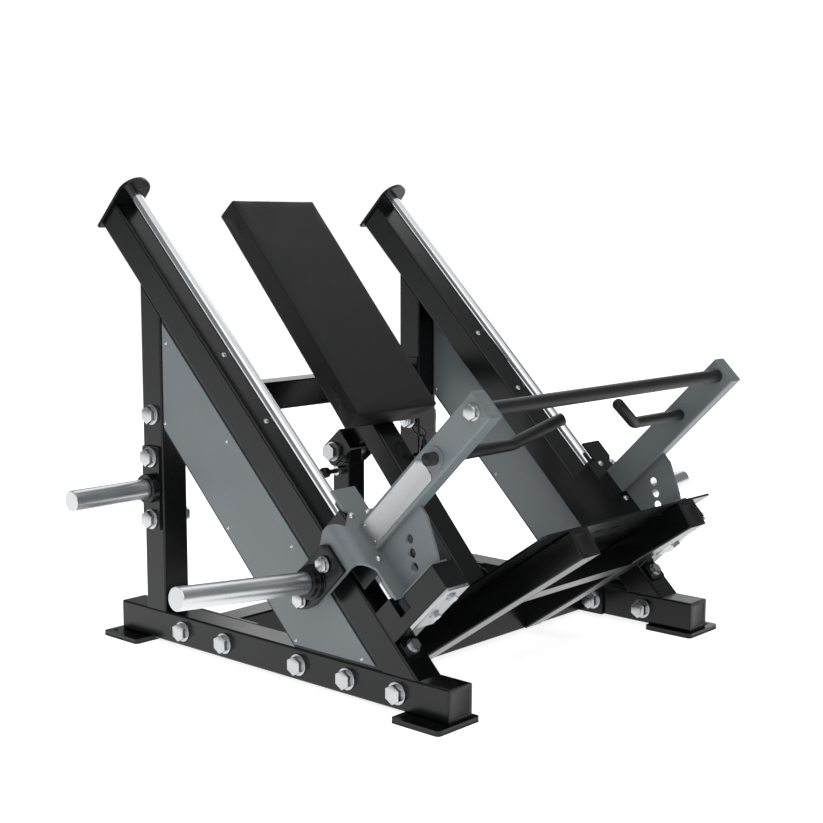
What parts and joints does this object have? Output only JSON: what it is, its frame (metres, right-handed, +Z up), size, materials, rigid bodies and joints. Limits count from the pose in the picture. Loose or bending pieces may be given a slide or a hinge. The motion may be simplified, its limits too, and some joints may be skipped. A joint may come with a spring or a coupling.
{
  "type": "leg press machine",
  "caption": "Plate-loaded gym press: a carriage with a cross bar, swivel grips and weight pegs slides on sloping rails above a back pad and foot plate.",
  "frame": {"origin": "floor level, under the middle of the machine's overall box", "axes": "+Z up, -Y towards the front where the foot plate is, +X across the machine"},
  "size_m": [1.8852, 1.305, 1.1576],
  "materials": {
    "black_paint": "satin",
    "grey_paint": "satin",
    "chrome": "polished",
    "turned_steel": "satin",
    "zinc": "satin",
    "brushed_plate": "brushed",
    "knurled_steel": "matt",
    "rubber": "matt",
    "black_plastic": "matt",
    "vinyl": "grained",
    "plywood": "sawn"
  },
  "bodies": {
    "frame": {"base_beams": "black_paint", "base_end_caps": "black_plastic", "foot_plates": "black_paint", "foot_rubbers": "rubber", "rear_columns": "black_paint", "rail_beams": "black_paint", "rail_end_plates": "black_paint", "guide_shafts": "chrome", "rail_top_screws": "zinc", "rail_foot_lugs": "black_paint", "stop_blocks": "black_paint", "stop_face_plates": "brushed_plate", "stop_bolts": "zinc", "stop_buffers": "rubber", "core_sheets": "black_paint", "side_panels": "grey_paint", "panel_screws": "zinc", "floor_crossbeam_front": "black_paint", "floor_crossbeam_rear": "black_paint", "upper_crossbeam": "black_paint", "frame_bolts": "zinc", "storage_brackets": "black_paint", "storage_pegs": "turned_steel", "platform_tubes": "black_paint", "platform_end_caps": "black_plastic", "platform_rib": "black_paint", "foot_plate": "black_paint", "foot_plate_screws": "zinc", "pivot_ears": "black_paint", "pivot_bolts": "zinc"},
    "carriage": {"bearing_housings": "black_paint", "carriage_saddle_left": "grey_paint", "carriage_saddle_right": "black_paint", "inner_guards": "black_paint", "carriage_dome_bolts": "zinc", "arms": "grey_paint", "arm_end_caps": "grey_paint", "grip_bushings": "grey_paint", "cross_bar": "knurled_steel", "carriage_bolts": "zinc", "arm_gussets": "grey_paint", "name_plates": "brushed_plate", "name_plate_rivets": "zinc", "peg_brackets": "black_paint", "weight_pegs": "turned_steel"},
    "left_grip": {"grip_left": "knurled_steel"},
    "right_grip": {"grip_right": "knurled_steel"},
    "backrest": {"pad_spine": "black_paint", "spine_end_cap": "black_plastic", "pad_board": "plywood", "back_pad": "vinyl", "prop_clevis": "black_paint", "ring_pin_tab": "black_paint"},
    "prop_outer": {"prop_outer_tube": "black_paint", "knob_boss": "turned_steel"},
    "prop_inner": {"prop_inner_tube": "black_paint", "prop_top_bolt": "zinc"},
    "knob": {"clamp_knob": "black_plastic"},
    "ring_pin": {"ring_pull_pin": "black_paint"}
  },
  "joints": [
    {"name": "carriage_slide", "type": "slide", "parent": "frame", "child": "carriage", "axis": [0, 0.7071, 0.7071], "range_m": [0, 0.93]},
    {"name": "left_grip_swivel", "type": "hinge", "parent": "carriage", "child": "left_grip", "pos_m": [-0.471, -0.45125, 0.565], "axis": [1, 0, 0], "range_deg": [-60, 60]},
    {"name": "right_grip_swivel", "type": "hinge", "parent": "carriage", "child": "right_grip", "pos_m": [0.471, -0.45125, 0.565], "axis": [1, 0, 0], "range_deg": [-60, 60]},
    {"name": "backrest_tilt", "type": "hinge", "parent": "frame", "child": "backrest", "pos_m": [0, -0.13173, 0.159], "axis": [1, 0, 0], "range_deg": [0, 6]},
    {"name": "prop_tilt", "type": "hinge", "parent": "frame", "child": "prop_outer", "pos_m": [0, 0.28227, 0.127], "axis": [1, 0, 0], "range_deg": [0, 6]},
    {"name": "prop_extend", "type": "slide", "parent": "prop_outer", "child": "prop_inner", "axis": [0, 0, 1], "range_m": [0, 0.045]},
    {"name": "clamp_knob_turn", "type": "hinge", "parent": "prop_outer", "child": "knob", "pos_m": [-0.06, 0.28227, 0.4], "axis": [-1, 0, 0], "range_deg": [0, 270]},
    {"name": "ring_pin_pull", "type": "slide", "parent": "backrest", "child": "ring_pin", "axis": [0, 0, 1], "range_m": [0, 0.012], "stiffness_N_per_m": 600}
  ],
  "couplings": [
    {"joint": "prop_tilt", "follows": "backrest_tilt", "ratio": 0.86},
    {"joint": "prop_extend", "follows": "backrest_tilt", "m_per_rad": 0.412}
  ]
}
